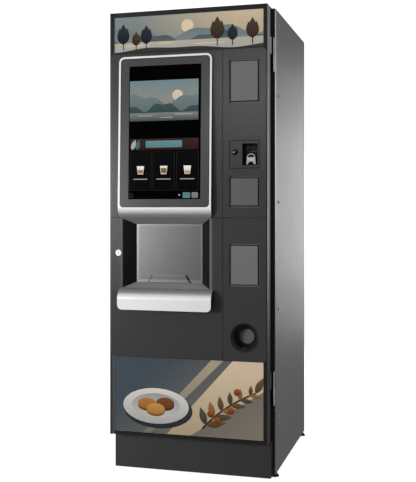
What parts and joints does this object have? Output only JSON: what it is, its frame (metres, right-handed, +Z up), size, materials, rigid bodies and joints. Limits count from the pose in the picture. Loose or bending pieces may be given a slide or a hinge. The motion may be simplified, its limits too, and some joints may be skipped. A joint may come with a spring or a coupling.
{
  "type": "hot drink vending machine",
  "caption": "Floor-standing hot drink vending machine: hinged door with a tall touch screen, delivery niche with sliding hatch, coin unit and coin-return cup, brewing modules behind it.",
  "frame": {"origin": "on the floor under the middle of the machine's bounding box", "axes": "+Z up, the front faces -Y, +X to the right as seen from the front"},
  "size_m": [0.667, 0.836, 1.83],
  "materials": {
    "graphite_fascia": "satin moulded",
    "black_frame": "satin black powder coat",
    "grey_paint": "metallic grey paint",
    "silver_paint": "silver lacquer",
    "picture_panel": "back-lit picture panel",
    "screen_glass": "black-backed display glass",
    "clear_hatch": "clear moulded",
    "blank_plate": "grained",
    "gloss_black": "gloss black",
    "chrome": "polished",
    "zinc": "bright sheet steel",
    "rubber": "matte",
    "white_plastic": "moulded",
    "smoked_plastic": "smoked moulded"
  },
  "bodies": {
    "cabinet": {"side_panel_left": "grey_paint", "side_panel_right": "grey_paint", "back_panel": "grey_paint", "top_panel": "grey_paint", "base_pan": "zinc", "plinth": "black_frame", "front_frame": "black_frame", "door_seal": "rubber", "upper_hinge_bracket": "chrome", "lower_hinge_bracket": "chrome", "module_wall": "zinc", "canister_shelf": "zinc", "cup_shelf": "zinc", "canister_1": "white_plastic", "canister_2": "white_plastic", "bean_hopper": "smoked_plastic", "grinder": "zinc", "brewer_frame": "white_plastic", "boiler": "zinc", "mixing_bowl": "white_plastic", "waste_bucket": "smoked_plastic", "cup_column": "smoked_plastic", "nozzle_block": "white_plastic", "service_plate": "zinc"},
    "door": {"door_frame": "black_frame", "door_back": "zinc", "top_picture": "picture_panel", "lower_picture": "picture_panel", "screen_fascia": "graphite_fascia", "delivery_fascia": "graphite_fascia", "payment_fascia": "graphite_fascia", "change_fascia": "graphite_fascia", "screen_housing": "silver_paint", "touch_screen": "screen_glass", "delivery_niche": "gloss_black", "delivery_tray": "silver_paint", "coin_plate": "graphite_fascia", "coin_entry": "chrome", "coin_validator": "gloss_black", "coin_cup": "gloss_black", "blank_plate_1": "blank_plate", "blank_plate_2": "blank_plate", "blank_plate_3": "blank_plate", "lock_rosette": "chrome", "upper_hinge_leaf": "chrome", "lower_hinge_leaf": "chrome"},
    "hatch": {"hatch": "clear_hatch"},
    "lock": {"lock_core": "chrome"},
    "return_button": {"return_button": "gloss_black"},
    "coin_flap": {"coin_flap": "blank_plate"},
    "foot_front_left": {"foot_front_left": "rubber"},
    "foot_front_right": {"foot_front_right": "rubber"},
    "foot_back_left": {"foot_back_left": "rubber"},
    "foot_back_right": {"foot_back_right": "rubber"},
    "auger_1": {"auger_1": "white_plastic"},
    "auger_2": {"auger_2": "white_plastic"},
    "whisk": {"whisk": "white_plastic"},
    "brew_piston": {"brew_piston": "white_plastic"},
    "cup_drop_ring": {"cup_drop_ring": "white_plastic"}
  },
  "joints": [
    {"name": "door_hinge", "type": "hinge", "parent": "cabinet", "child": "door", "pos_m": [0.3182, -0.2955, 0.1515], "axis": [0, 0, 1], "range_deg": [0, 110]},
    {"name": "hatch_slide", "type": "slide", "parent": "door", "child": "hatch", "axis": [0, 0, 1], "range_m": [0, 0.185]},
    {"name": "lock_turn", "type": "hinge", "parent": "door", "child": "lock", "pos_m": [-0.29, -0.378, 0.875], "axis": [0, 1, 0], "range_deg": [0, 90]},
    {"name": "return_button_press", "type": "slide", "parent": "door", "child": "return_button", "axis": [0, 1, 0], "range_m": [0, 0.004], "stiffness_N_per_m": 300},
    {"name": "coin_flap_swing", "type": "hinge", "parent": "door", "child": "coin_flap", "pos_m": [0.22295, -0.331, 0.5835], "axis": [1, 0, 0], "range_deg": [0, 35]},
    {"name": "foot_front_left_turn", "type": "hinge", "parent": "cabinet", "child": "foot_front_left", "pos_m": [-0.316, -0.25, 0], "axis": [0, 0, 1], "continuous": true},
    {"name": "foot_front_right_turn", "type": "hinge", "parent": "cabinet", "child": "foot_front_right", "pos_m": [0.316, -0.25, 0], "axis": [0, 0, 1], "continuous": true},
    {"name": "foot_back_left_turn", "type": "hinge", "parent": "cabinet", "child": "foot_back_left", "pos_m": [-0.316, 0.388, 0], "axis": [0, 0, 1], "continuous": true},
    {"name": "foot_back_right_turn", "type": "hinge", "parent": "cabinet", "child": "foot_back_right", "pos_m": [0.316, 0.388, 0], "axis": [0, 0, 1], "continuous": true},
    {"name": "auger_1_turn", "type": "hinge", "parent": "cabinet", "child": "auger_1", "pos_m": [0.215, -0.155, 1.3196], "axis": [0, 1, 0], "continuous": true},
    {"name": "auger_2_turn", "type": "hinge", "parent": "cabinet", "child": "auger_2", "pos_m": [0.085, -0.155, 1.3196], "axis": [0, 1, 0], "continuous": true},
    {"name": "whisk_turn", "type": "hinge", "parent": "cabinet", "child": "whisk", "pos_m": [0.15, -0.172, 1.13], "axis": [0, 0, 1], "continuous": true},
    {"name": "brew_piston_lift", "type": "slide", "parent": "cabinet", "child": "brew_piston", "axis": [0, 0, 1], "range_m": [0, 0.04]},
    {"name": "cup_drop_ring_turn", "type": "hinge", "parent": "cabinet", "child": "cup_drop_ring", "pos_m": [-0.094, -0.205, 1.13], "axis": [0, 0, 1], "continuous": true}
  ]
}
